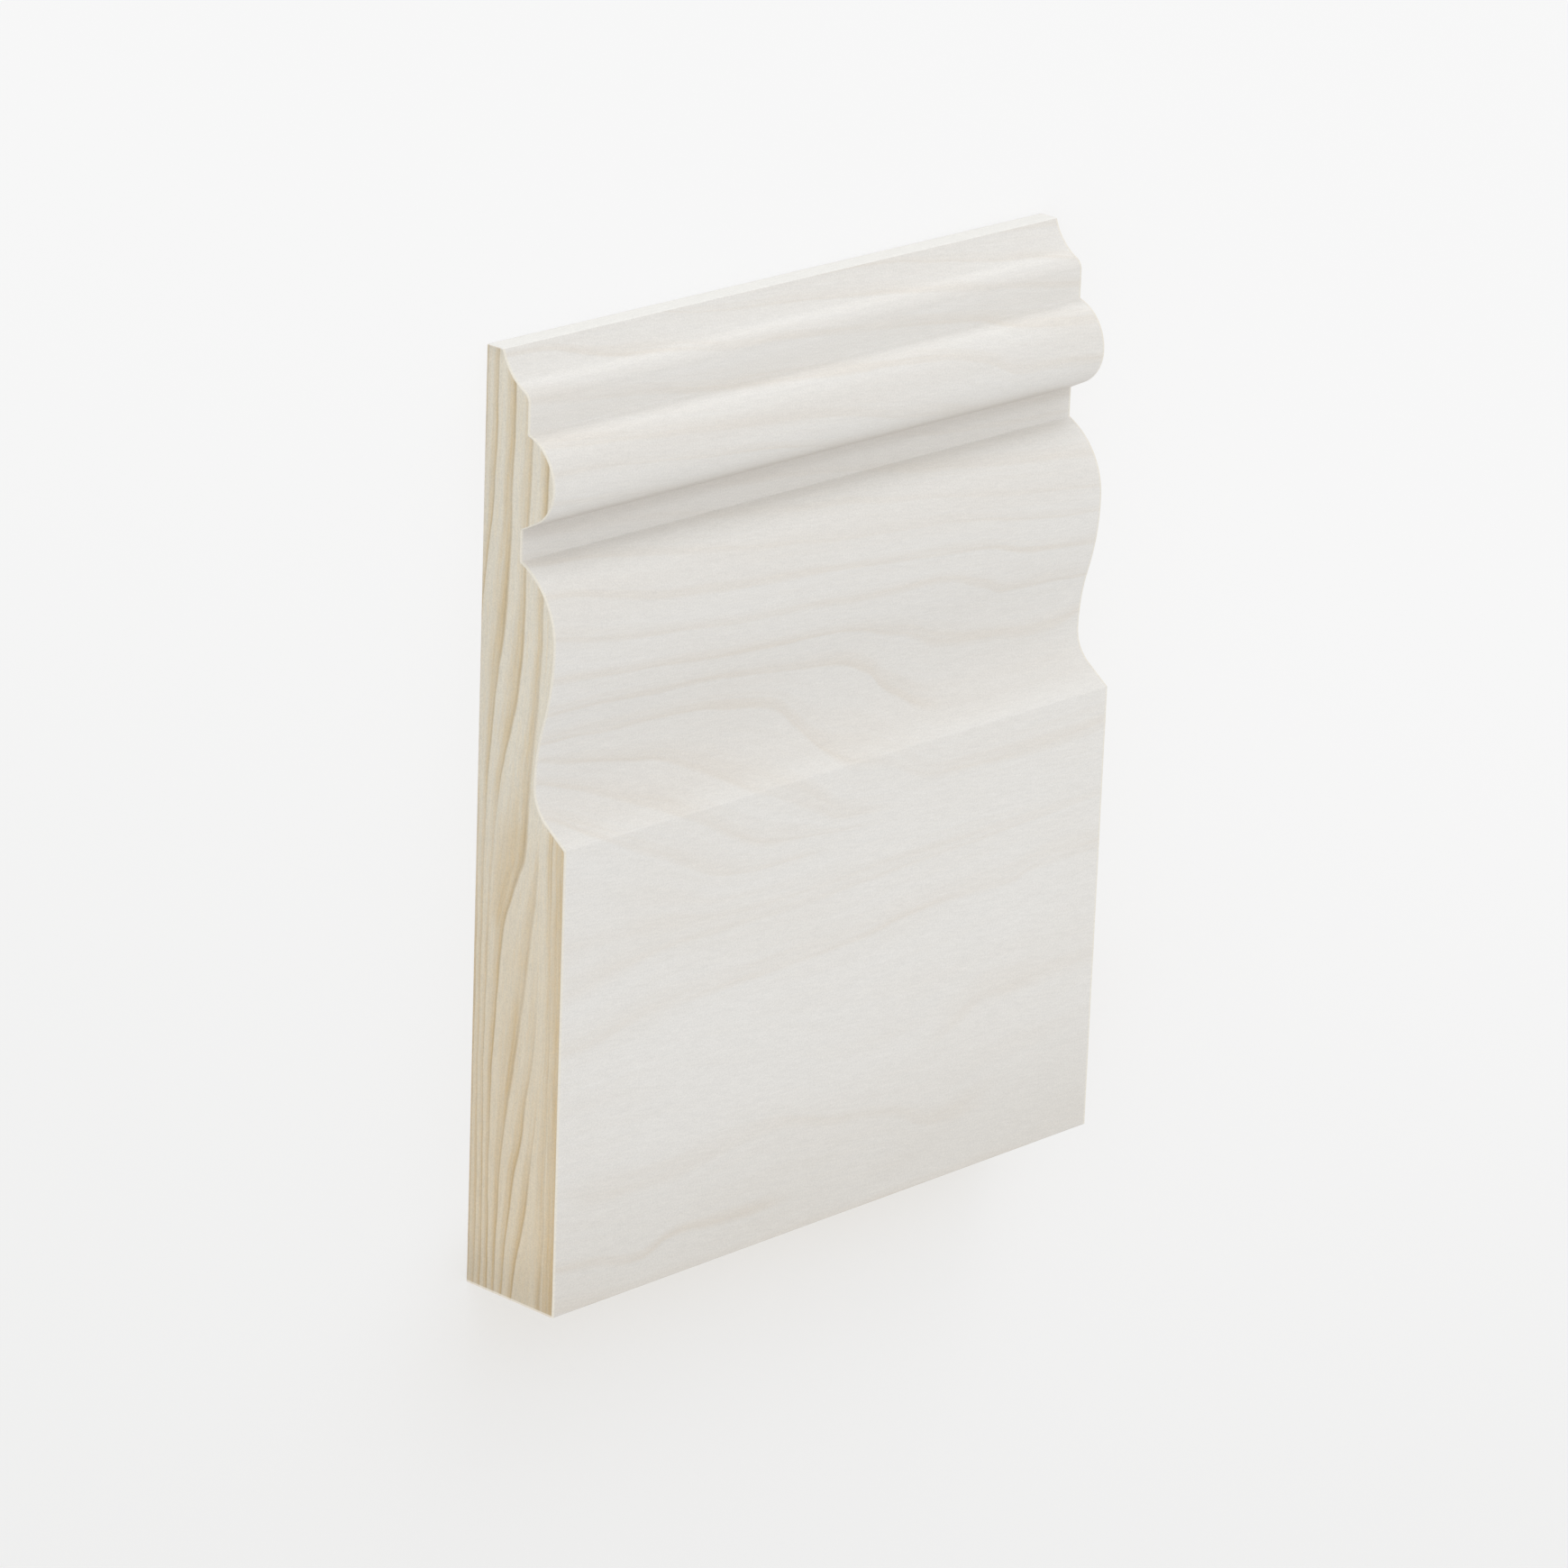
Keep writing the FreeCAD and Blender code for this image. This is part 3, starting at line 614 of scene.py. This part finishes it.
def glaze_tones(graph, position, groups, finish):
    """Colour of the glaze, with its growth figure, painted shade and highlights, and the figure and
    streaks behind it.
    """
    x, y, _ = graph.split(position)
    height = share_of(y, HEIGHT)
    figure = graph.group(groups["face"], position=position)
    fibres = graph.group(groups["fibres"], position=position, fibre_length=4.5 * MM, slant=0.12)
    trail = graph.noise(x * 22.0, figure["Ring"] * 7.0, title="Streaks along the growth lines")
    cloud = graph.noise(x * 14.0, y * 38.0, 2.0, detail=2.0, roughness=0.5, title="Uneven glaze")

    patchy = graph.span(trail, *NOISE_SPAN, 0.55, 1.25, title="Lines darker and fainter")
    depth = figure["Line"] * patchy + (trail - NOISE_MEAN) * 0.6 + (cloud - SOFT_MEAN) * 0.7
    depth = graph.span(depth, 0.0, 1.0)
    tone = graph.tint(depth, finish.glaze, finish.glaze_line, title="Glaze")
    # Painted shade: the glaze drawn darker over the lowest fifth of the height
    foot = graph.span(height, 0.0, 0.2, 0.85, 0.0, SMOOTH, "Near the foot")
    tone = graph.tint(foot, tone, finish.glaze_foot_shade, "MULTIPLY", "Thinner at the foot")

    # Painted shade under the bead and in the hollows, a little less near either end and toward the
    # right end
    deep = graph.curve(height, by_height(PAINTED_SHADE_BY_HEIGHT), "Under the bead and in the hollows")
    inner = graph.span(inboard(x), 0.0, 8.0 * MM, 0.92, 1.0, SMOOTH, "Less at the ends")
    inner = inner * graph.span(x, -LENGTH / 2.0, LENGTH / 2.0, 1.0, 0.9)
    tone = graph.tint(deep * inner, tone, finish.glaze_painted_shade, title="Settled glaze")
    # Painted light: the glaze drawn a little darker at the left end and lighter toward the right
    # end
    painted_light = graph.span(x, -LENGTH / 2.0, LENGTH / 2.0, 0.994, 1.009, title="Along the board")
    # Painted highlights on the nose and the bead's top, and a painted shade line between them
    for level, reach, change in PAINTED_EDGE_LIGHTS:
        away = abs(height - level * MM / HEIGHT)
        painted_light = painted_light + graph.span(away, 0.0, reach * MM / HEIGHT, change, 0.0, SMOOTH)
    tone = graph.shade(tone, painted_light, "Rubbed and settled edges")

    # Painted light: the top land drawn paler than the face
    land = graph.span(height, *TOP_LAND, title="Top land")
    tone = graph.tint(land, tone, finish.glaze_top_light, title="Fuller on the top land")
    # Worn glaze and a painted highlight within the arris width of either end, not on the top land
    wear_and_highlight = graph.span(inboard(x), 0.0, finish.arris_width, 1.0, 0.0, SMOOTH, "At the ends")
    wear_and_highlight = wear_and_highlight * (1.0 - land)
    tone = graph.tint(wear_and_highlight, tone, finish.glaze_arris_highlight, title="Worn at the arris")
    fine = fibres["Speckle"] * 1.5 + fibres["Streak"]
    fine = graph.span(fine, 0.65, 1.85, 0.92, 1.08, title="Fine streaks and speckle")
    return graph.shade(tone, fine), figure, trail, fibres


def glazed_pine(groups, finish):
    """Smooth pine under a thin white glaze that lets its growth lines show."""
    material, graph, position = new_material("glazed pine")
    tone, figure, trail, fibres = glaze_tones(graph, position, groups, finish)
    dry = finish.glaze_roughness
    rough = graph.span(trail, *NOISE_SPAN, dry - 0.05, dry + 0.05)
    height = fibres["Streak"] * 0.6 + figure["Line"] + fibres["Speckle"] * 0.4
    return close_material(material, graph, tone, rough, height, 0.25, 0.05 * MM)


def cut_end_pine(groups, finish):
    """Bare sawn end with amber growth bands, and the glaze just lapping over its face edge."""
    material, graph, position = new_material("cut end pine")
    x, y, z = graph.split(position)
    figure = graph.group(groups["section"], position=position)
    turned = graph.join(y, z, x)
    fibres = graph.group(groups["fibres"], position=turned, fibre_length=3.5 * MM)
    streak, speckle = fibres["Streak"], fibres["Speckle"]
    trail = graph.noise(y * 45.0, figure["Ring"] * 5.0, title="Streaks along the bands")

    patchy = graph.span(trail, *NOISE_SPAN, 0.8, 1.1, title="Bands darker and fainter")
    depth = figure["Line"] * patchy + (trail - NOISE_MEAN) * 0.8 + (streak - 0.5) * 0.8
    depth = graph.span(depth, 0.0, 1.0)
    tone = graph.tint(depth, finish.end_early, finish.end_late, title="End grain")
    thin = figure["Edge"] * patchy
    tone = graph.tint(thin, tone, finish.end_edge, "MULTIPLY", "Edge of a ring")
    fine = streak * 1.2 + speckle
    tone = graph.shade(tone, graph.span(fine, 0.55, 1.65, 0.86, 1.14), "Pores")

    height = share_of(y, HEIGHT)
    warmth = graph.curve(height, by_height(END_WARMTH))
    tone = graph.tint(warmth, tone, finish.end_warmth, "MULTIPLY", "Warmer toward the foot")
    # Painted shade: the end drawn darker over its lowest 18 mm
    low = graph.span(height, 0.0, 18.0 * MM / HEIGHT, 0.86, 1.0, SMOOTH)
    tone = graph.shade(tone, low, "Darker at the foot")
    high = graph.span(height, 1.0 - 4.0 * MM / HEIGHT, 1.0, 1.0, 0.92, SMOOTH)
    tone = graph.shade(tone, high, "Darker at the top edge")
    # Sanded wood and a painted highlight along the end's foot edge
    eased = graph.span(height, 0.4 * MM / HEIGHT, 0.7 * MM / HEIGHT, 0.8, 0.0)
    tone = graph.tint(eased, tone, finish.bare_arris_highlight, title="Sanded foot edge")

    edge = graph.wire("ShaderNodeAttribute", "", output="Fac", attribute_name=EDGE_DISTANCE)
    ragged = (streak * 0.5 + 0.75) * finish.glaze_lap
    lap = graph.span(edge / ragged, 0.7, 1.0, 1.0, 0.0, title="Glaze lapping over")
    tone = graph.tint(lap, tone, finish.glaze)
    rough = graph.blend(lap, finish.end_roughness, finish.glaze_roughness)
    return close_material(material, graph, tone, rough, streak + speckle, 0.4, 0.1 * MM)


def planed_pine(groups, finish):
    """Bare planed back and foot, with the rings drawn out along the board."""
    material, graph, position = new_material("planed pine")
    x, _, _ = graph.split(position)
    figure = graph.group(groups["section"], position=position)
    fibres = graph.group(groups["fibres"], position=position, fibre_length=35.0 * MM)
    trail = graph.noise(x * 14.0, figure["Ring"] * 14.0, 4.0, title="Streaks along the figure")
    depth = graph.span((trail - 0.5) * 0.7 + figure["Line"], 0.0, 1.0)
    tone = graph.tint(depth, finish.planed_early, finish.planed_late, title="Planed wood")
    fine = fibres["Streak"] + fibres["Speckle"] * 0.5
    tone = graph.shade(tone, graph.span(fine, 0.4, 1.1, 0.95, 1.04))
    # Sanded wood and a painted highlight on the eased edges at either end
    eased = graph.span(inboard(x), 0.3 * MM, 0.6 * MM, 0.55, 0.0)
    tone = graph.tint(eased, tone, finish.bare_arris_highlight, title="Sanded ends")
    mean = finish.planed_roughness
    rough = graph.span(depth, 0.0, 1.0, mean + 0.06, mean - 0.06)
    return close_material(material, graph, tone, rough, fine, 0.35, 0.1 * MM)


def arc_radius(rise, run):
    """Radius of an arc that starts along the rise and ends after this rise and run."""
    return (rise**2 + run**2) / (2.0 * run)


def face_stretches(s):
    """The moulded face from the foot to the top edge: (end point, centre or None) of each stretch.

    A point is its height above the foot and its distance from the back.
    """
    fascia = s.board_thickness - s.fascia_setback
    fillet = fascia + s.fillet_projection
    bead = fascia + s.bead_projection
    belly = s.board_thickness - s.belly_setback
    waist = s.board_thickness - s.waist_setback
    top = Vector((s.board_height, s.top_thickness))

    nose_foot = Vector((s.board_height - s.cove_height, fillet))
    nose_centre = nose_foot - Vector((0.0, s.nose_radius))
    gap = nose_centre - top
    reach = s.cove_radius + s.nose_radius
    along = (s.cove_radius**2 - reach**2 + gap.length_squared) / (2.0 * gap.length)
    across = math.sqrt(s.cove_radius**2 - along**2)
    toward, aside = gap.normalized(), gap.orthogonal().normalized()
    either = [top + toward * along + aside * side * across for side in (1, -1)]
    cove_centre = max(either, key=lambda centre: centre.y)
    nose_top = nose_centre.lerp(cove_centre, s.nose_radius / reach)

    bead_top = nose_foot - Vector((s.fillet_height, 0.0))
    front = bead_top.x - s.bead_crown_height
    crown_centre = Vector((front, bead - arc_radius(s.bead_crown_height, bead - fillet)))
    bead_centre = Vector((front, bead - s.bead_lower_radius))
    turn = math.radians(90.0) - s.underside_slope
    under_front = bead_centre + s.bead_lower_radius * Vector((-math.sin(turn), math.cos(turn)))
    drop = (under_front.y - fascia) * math.tan(s.underside_slope)
    under_back = Vector((under_front.x - drop, fascia))

    shoulder = under_back - Vector((s.fascia_height, 0.0))
    belly_high = shoulder.x - s.shoulder_height
    shoulder_centre = Vector((belly_high, belly - arc_radius(s.shoulder_height, belly - fascia)))
    both = arc_radius(s.belly_to_waist, belly - waist)
    part = s.belly_drop / s.belly_to_waist
    belly_centre = Vector((belly_high, belly - both * part))
    turning = Vector((belly_high - s.belly_drop, belly - (belly - waist) * part))
    waist_high = belly_high - s.belly_to_waist
    waist_centre = Vector((waist_high, waist + both * (1.0 - part)))

    hollow_centre = Vector((waist_high, waist + s.hollow_radius))
    turn = math.radians(90.0) - s.weathering_slope
    weathering = hollow_centre - s.hollow_radius * Vector((math.sin(turn), math.cos(turn)))
    drop = (s.board_thickness - weathering.y) * math.tan(s.weathering_slope)
    arris = Vector((weathering.x - drop, s.board_thickness))

    return Vector((0.0, s.board_thickness)), [
        (arris, None),
        (weathering, None),
        (Vector((waist_high, waist)), hollow_centre),
        (turning, waist_centre),
        (Vector((belly_high, belly)), belly_centre),
        (shoulder, shoulder_centre),
        (under_back, None),
        (under_front, None),
        (Vector((front, bead)), bead_centre),
        (bead_top, crown_centre),
        (nose_foot, None),
        (nose_top, nose_centre),
        (top, cove_centre),
    ]


def stretch_points(start, end, centre, step):
    """Points after the start up to the end, on a line or round the short way about a centre."""
    if centre is None:
        parts = max(2, math.ceil((end - start).length / step))
        return [start.lerp(end, i / parts) for i in range(1, parts + 1)]
    arm, last = start - centre, end - centre
    turn = math.atan2(arm.x * last.y - arm.y * last.x, arm.dot(last))
    by_length, by_turn = abs(turn) * arm.length / step, abs(turn) / ROW_TURN
    parts = max(2, math.ceil(by_length), math.ceil(by_turn))
    return [centre + Matrix.Rotation(turn * i / parts, 2) @ arm for i in range(1, parts + 1)]


def face_outline(s):
    """The moulded face's outline as points of height and depth, from the foot to the top edge."""
    start, stretches = face_stretches(s)
    points = [start]
    for end, centre in stretches:
        points += stretch_points(points[-1], end, centre, s.row_step)
    return points


def stations_group():
    """Evenly spaced stations over a span, with a narrow strip kept free at either end."""
    takes = [("Index", FLOAT), ("Count", FLOAT), ("Span", FLOAT), ("Strip", FLOAT)]
    graph, given = new_group("Spaced stations", GEOMETRY, takes, [("Distance", FLOAT)])
    index, strip = given["Index"], given["Strip"]
    inner = graph.math("DIVIDE", index - 1.0, given["Count"] - 3.0, clamp=True)
    distance = inner * (strip * -2.0 + given["Span"]) + strip
    at_first = graph.math("LESS_THAN", index, 0.5)
    at_last = graph.math("GREATER_THAN", index, given["Count"] - 1.5)
    return close_group(graph, distance=(at_last - at_first) * strip + distance)


def run_stock_group(face_figure):
    """Runs the face outline along the board as one closed block and sinks its soft grain."""
    takes = [("Outline", SHAPE), ("Stations", INTEGER), ("Layers", INTEGER)]
    takes += [(title, FLOAT) for title in ("Length", "Height", "Strip", "Relief")]
    takes += [(title, MATERIAL) for title in ("Face finish", "End finish", "Planed finish")]
    graph, given = new_group("Run moulded stock", GEOMETRY, takes, [("Board", SHAPE)])
    outline, stations, layers = given["Outline"], given["Stations"], given["Layers"]
    here = graph.wire("GeometryNodeInputPosition")
    x, y, z = graph.split(here)

    rows = graph.wire("GeometryNodeAttributeDomainSize", "Rows", {0: outline})
    feeds = {"Vertices X": stations, "Vertices Y": rows, "Vertices Z": layers}
    block = graph.wire("GeometryNodeMeshCube", "Block", feeds)

    def index(at, total, title):
        return graph.math("ROUND", (at + 0.5) * (total - 1.0), title=title)

    feeds = {"Geometry": outline, "Value": here, "Index": index(y, rows, "Row")}
    point = graph.wire("GeometryNodeSampleIndex", "Outline point", feeds, data_type="FLOAT_VECTOR")
    _, up, out = graph.split(point)
    station, layer = index(x, stations, "Station"), index(z, layers, "Layer")
    spaced, strip, run = stations_group(), given["Strip"], given["Length"]
    along = graph.group(spaced, index=station, count=stations, span=run, strip=strip)
    along = along["Distance"] + run * -0.5
    deep = graph.group(spaced, index=layer, count=layers, span=out, strip=strip)
    placed = graph.join(along, up, deep["Distance"], "Place in the board")

    keep = graph.node("GeometryNodeCaptureAttribute", "Layer", {0: block}, domain="POINT")
    keep.capture_items.new("FLOAT", "Layer")
    graph.feed(keep.inputs["Layer"], layer)
    kept = graph.wires(keep)
    feeds = {"Geometry": kept["Geometry"], "Position": placed}
    shaped = graph.wire("GeometryNodeSetPosition", "Shape", feeds)

    sink = (1.0 - graph.group(face_figure, position=here)["Line"]) * (given["Relief"] * -1.0)
    on_face = graph.math("GREATER_THAN", kept["Layer"], layers - 1.5)
    on_back = graph.math("LESS_THAN", kept["Layer"], 0.5)
    normal = graph.wire("GeometryNodeInputNormal")
    inward = graph.wire("ShaderNodeVectorMath", "Inward", {0: normal, 3: sink}, operation="SCALE")
    either = graph.math("MAXIMUM", on_face, on_back)
    feeds = {"Geometry": shaped, "Selection": either, "Offset": inward}
    sunk = graph.wire("GeometryNodeSetPosition", "Soft grain", feeds)

    feeds = {0: outline, "Sample Position": graph.join(0.0, y, z)}
    near = graph.wire("GeometryNodeProximity", "", feeds, "Distance", target_element="EDGES")
    edge = graph.math("MINIMUM", near, given["Height"] * 0.5 - y)
    feeds = {"Geometry": sunk, "Name": EDGE_DISTANCE, "Value": edge}
    marked = graph.wire("GeometryNodeStoreNamedAttribute", "", feeds, data_type="FLOAT")

    done = graph.wire("GeometryNodeRealizeInstances", "", {0: marked})
    facing_x, facing_y, facing_z = graph.split(normal)
    is_end = graph.math("GREATER_THAN", abs(facing_x), END_TURN)
    is_front = graph.math("GREATER_THAN", facing_z, FACE_TURN)
    is_top = graph.math("GREATER_THAN", facing_y, TOP_TURN)
    is_face = graph.math("MAXIMUM", is_front, is_top)
    for finish, which in (("Planed", True), ("End", is_end), ("Face", is_face)):
        feeds = {0: done, "Selection": which, "Material": given[finish + " finish"]}
        done = graph.wire("GeometryNodeSetMaterial", finish, feeds)
    return close_group(graph, board=done)


def set_inputs(modifier, **values):
    """Sets a modifier's inputs, found by their names in the tree."""
    values = titled(values)
    for item in modifier.node_group.interface.items_tree:
        if item.name in values:
            modifier[item.identifier] = values[item.name]


def shaped_board(sizes, finishes, figure):
    """The board as one plain closed mesh, its edges eased and each face given its finish."""
    outline = [(0.0, p.x - sizes.board_height / 2.0, p.y) for p in face_outline(sizes)]
    guide = bpy.data.meshes.new("board outline")
    guide.from_pydata(outline, [(i, i + 1) for i in range(len(outline) - 1)], [])
    maker = bpy.data.objects.new("board outline", guide)
    bpy.context.scene.collection.objects.link(maker)

    run = maker.modifiers.new("Run moulded stock", "NODES")
    run.node_group = run_stock_group(figure)
    set_inputs(
        run,
        length=sizes.board_length,
        height=sizes.board_height,
        strip=sizes.edge_strip,
        stations=sizes.stations,
        layers=sizes.layers,
        relief=sizes.grain_relief,
        face_finish=finishes[FACE],
        end_finish=finishes[END],
        planed_finish=finishes[PLANED],
    )
    ease = maker.modifiers.new("Eased edges", "BEVEL")
    ease.width = sizes.eased_edge
    ease.segments = 3
    ease.limit_method = "ANGLE"
    ease.angle_limit = math.radians(22.0)

    bpy.context.view_layer.update()
    graph = bpy.context.evaluated_depsgraph_get()
    mesh = bpy.data.meshes.new_from_object(maker.evaluated_get(graph))
    bpy.data.objects.remove(maker)
    bpy.data.meshes.remove(guide)
    give_finishes(mesh, sizes, finishes)
    return mesh


def give_finishes(mesh, sizes, finishes):
    """Gives each face its finish: the eased edges round an end take that of the side they meet."""
    mesh.materials.clear()
    for finish in finishes:
        mesh.materials.append(finish)
    end_at = sizes.board_length / 2.0 - END_WITHIN
    for polygon in mesh.polygons:
        facing = polygon.normal
        if abs(polygon.center.x) > end_at and abs(facing.x) > END_TURN:
            polygon.material_index = END
        elif facing.z > FACE_TURN or facing.y > TOP_TURN:
            polygon.material_index = FACE
        else:
            polygon.material_index = PLANED
        polygon.use_smooth = True


class SKIRTING_OT_make_board(bpy.types.Operator):
    """Make the moulded board with its glaze and bare cut ends"""

    bl_idname = "skirting.make_board"
    bl_label = "Make board"
    bl_options = {"REGISTER", "UNDO"}

    def execute(self, context):
        sizes, finish = context.scene.skirting_sizes, context.scene.skirting_finish
        growth_line = growth_line_group(SHADER)
        groups = {
            "face": face_figure_group(SHADER, growth_line),
            "section": section_figure_group(SHADER, growth_line),
            "fibres": fibre_group(),
        }
        finishes = [maker(groups, finish) for maker in (glazed_pine, cut_end_pine, planed_pine)]
        relief = face_figure_group(GEOMETRY, growth_line_group(GEOMETRY))

        board = bpy.data.objects.new("moulded_board", shaped_board(sizes, finishes, relief))
        context.scene.collection.objects.link(board)
        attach(board, BOARD_BODY)
        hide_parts(BOARD_NODE)
        return {"FINISHED"}


def seen_rays(graph):
    """Rays from the camera, and all rays that look at the stage: those, mirrored or let through."""
    ray = graph.wires(graph.node("ShaderNodeLightPath"))
    seen = graph.math("MAXIMUM", ray["Is Camera Ray"], ray["Is Glossy Ray"])
    return ray["Is Camera Ray"], graph.math("MAXIMUM", seen, ray["Is Transmission Ray"])


def ground_material(stage):
    """Pale ground: the lights see a plain floor, the camera only part of its shadow."""
    material, graph, position = new_material("pale ground")
    x, y, _ = graph.split(position)
    # Painted shade: the camera sees the ground drawn darker toward the foot side and the left
    way = graph.span(x * 0.43 + y, -0.27, 0.12, ease=SMOOTH, title="Foot side to top side")
    ground = graph.tint(way, stage.ground_near, stage.ground_far)
    aside = graph.span(x, -LENGTH / 2.0, LENGTH / 2.0, stage.shadow_left, stage.shadow_right)
    beyond = x * -0.15 + y
    shown = graph.span(beyond, -0.125, -0.075, stage.shadow_foot, aside, SMOOTH, "Shadow shown")
    camera_ray, seen = seen_rays(graph)
    lit = graph.tint(camera_ray, stage.floor_tone, graph.shade(ground, stage.floor_gain))
    floor = graph.wire("ShaderNodeBsdfDiffuse", "", {"Color": lit})
    glow = graph.wire("ShaderNodeEmission", "", {"Color": ground, "Strength": 1.0})
    feeds = {0: seen * (1.0 - shown), 1: floor, 2: glow}
    surface = graph.wire("ShaderNodeMixShader", "", feeds)
    graph.node("ShaderNodeOutputMaterial", "", {"Surface": surface})
    return material


def set_world(stage):
    """An even sky that gives its light everywhere and looks pale to the camera."""
    world = bpy.data.worlds.new("studio sky")
    graph = empty_graph(world)
    _, toward_top, _ = graph.split(graph.wire("ShaderNodeTexCoord", output="Generated"))
    sky = graph.span(toward_top, -1.0, 1.0, stage.sky_foot, stage.sky_top, title="Sky")
    feeds = {"Color": (1.0, 1.0, 1.0), "Strength": sky}
    lit = graph.wire("ShaderNodeBackground", "Light", feeds)
    feeds = {"Color": stage.ground_far, "Strength": 1.0}
    shown = graph.wire("ShaderNodeBackground", "Seen", feeds)
    _, seen = seen_rays(graph)
    surface = graph.wire("ShaderNodeMixShader", "", {0: seen, 1: lit, 2: shown})
    graph.node("ShaderNodeOutputWorld", "", {"Surface": surface})
    bpy.context.scene.world = world


def add_floor(stage):
    half = stage.floor_size / 2.0
    mesh = bpy.data.meshes.new("floor")
    corners = [(-half, -half, 0.0), (half, -half, 0.0), (half, half, 0.0), (-half, half, 0.0)]
    mesh.from_pydata(corners, [], [(0, 1, 2, 3)])
    mesh.materials.append(ground_material(stage))
    floor = bpy.data.objects.new("floor", mesh)
    bpy.context.scene.collection.objects.link(floor)


def add_key_lamp(stage):
    """One large soft lamp over the board's top side."""
    lamp = bpy.data.lights.new("key lamp", "AREA")
    lamp.shape = "SQUARE"
    lamp.size = stage.key_size
    where = Vector(stage.key_place)
    lamp.energy = stage.key * math.pi**2 * where.length_squared
    holder = bpy.data.objects.new("key lamp", lamp)
    holder.location = where
    holder.rotation_euler = where.to_track_quat("Z", "Y").to_euler()
    bpy.context.scene.collection.objects.link(holder)


def add_camera(stage):
    """A long lens that sees the board's upper, left and top sides, with its foot downward."""
    lens = bpy.data.cameras.new("camera")
    lens.lens = stage.lens
    lens.clip_start, lens.clip_end = 0.05, 50.0
    camera = bpy.data.objects.new("camera", lens)
    where = Vector(stage.camera_place)
    back = (where - Vector(stage.camera_aim)).normalized()
    right = Vector((0.0, 1.0, 0.0)).cross(back).normalized()
    right = Quaternion(back, stage.camera_roll) @ right
    turned = Matrix((right, back.cross(right), back)).transposed().to_4x4()
    camera.matrix_world = Matrix.Translation(where) @ turned
    bpy.context.scene.collection.objects.link(camera)
    bpy.context.scene.camera = camera


class SKIRTING_OT_set_stage(bpy.types.Operator):
    """Set the pale floor, the soft light and the camera"""

    bl_idname = "skirting.set_stage"
    bl_label = "Set stage"
    bl_options = {"REGISTER", "UNDO"}

    def execute(self, context):
        stage = context.scene.skirting_stage
        context.scene.view_settings.view_transform = "Standard"
        set_world(stage)
        add_floor(stage)
        add_key_lamp(stage)
        add_camera(stage)
        return {"FINISHED"}


class SKIRTING_PT_panel(bpy.types.Panel):
    """Lists the board's sizes and finishes and the stage"""

    bl_idname = "SKIRTING_PT_panel"
    bl_label = "Skirting board length"
    bl_space_type = "VIEW_3D"
    bl_region_type = "UI"
    bl_category = "Skirting"

    def draw(self, context):
        parts = [
            (context.scene.skirting_sizes, SKIRTING_OT_make_board.bl_idname),
            (context.scene.skirting_finish, None),
            (context.scene.skirting_stage, SKIRTING_OT_set_stage.bl_idname),
        ]
        for values, button in parts:
            box = self.layout.box()
            for name in values.__annotations__:
                box.prop(values, name)
            if button:
                box.operator(button)


CLASSES = [
    SkirtingSizes,
    SkirtingFinish,
    SkirtingStage,
    SKIRTING_OT_make_board,
    SKIRTING_OT_set_stage,
    SKIRTING_PT_panel,
]


def register():
    for kind in CLASSES:
        bpy.utils.register_class(kind)
    bpy.types.Scene.skirting_sizes = bpy.props.PointerProperty(type=SkirtingSizes)
    bpy.types.Scene.skirting_finish = bpy.props.PointerProperty(type=SkirtingFinish)
    bpy.types.Scene.skirting_stage = bpy.props.PointerProperty(type=SkirtingStage)


def unregister():
    del bpy.types.Scene.skirting_stage
    del bpy.types.Scene.skirting_finish
    del bpy.types.Scene.skirting_sizes
    for kind in reversed(CLASSES):
        bpy.utils.unregister_class(kind)


def main():
    register()
    bpy.ops.skirting.make_board()
    bpy.ops.skirting.set_stage()


if __name__ == "__main__":
    main()
